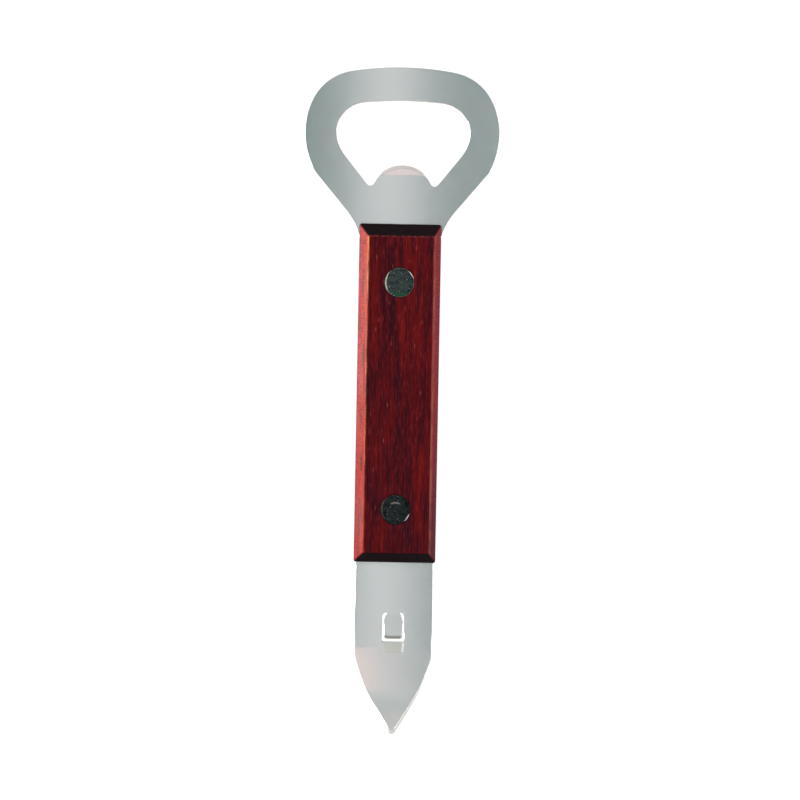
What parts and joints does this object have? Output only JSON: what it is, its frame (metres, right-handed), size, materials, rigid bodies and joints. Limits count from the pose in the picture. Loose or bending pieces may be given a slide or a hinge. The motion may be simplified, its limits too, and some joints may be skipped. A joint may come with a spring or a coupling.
{
  "type": "bottle opener",
  "caption": "Flat steel bottle opener with a cap-lifting loop at one end, a bent can punch with a hook at the other, and a chamfered red wood handle held by flush rivets.",
  "frame": {"origin": "on the flat back of the handle, below the middle of the object's length: the bottom centre of its box", "axes": "+Y along the handle towards the cap-lifting loop, +Z out of the front, the side that the lip, the hook and the point rise from, +X to the right"},
  "size_m": [0.0518, 0.1766, 0.0205],
  "materials": {
    "stamped_steel": "satin stainless sheet, stamped and tumbled",
    "handle_wood": "hardwood stained dark red, clear satin lacquer",
    "rivet_metal": "dark polished steel with fine scratches"
  },
  "bodies": {
    "root": {"opener_blade": "stamped_steel", "front_scale": "handle_wood", "back_scale": "handle_wood", "upper_rivet_post": "rivet_metal", "upper_rivet_socket": "rivet_metal", "lower_rivet_post": "rivet_metal", "lower_rivet_socket": "rivet_metal"}
  },
  "joints": []
}
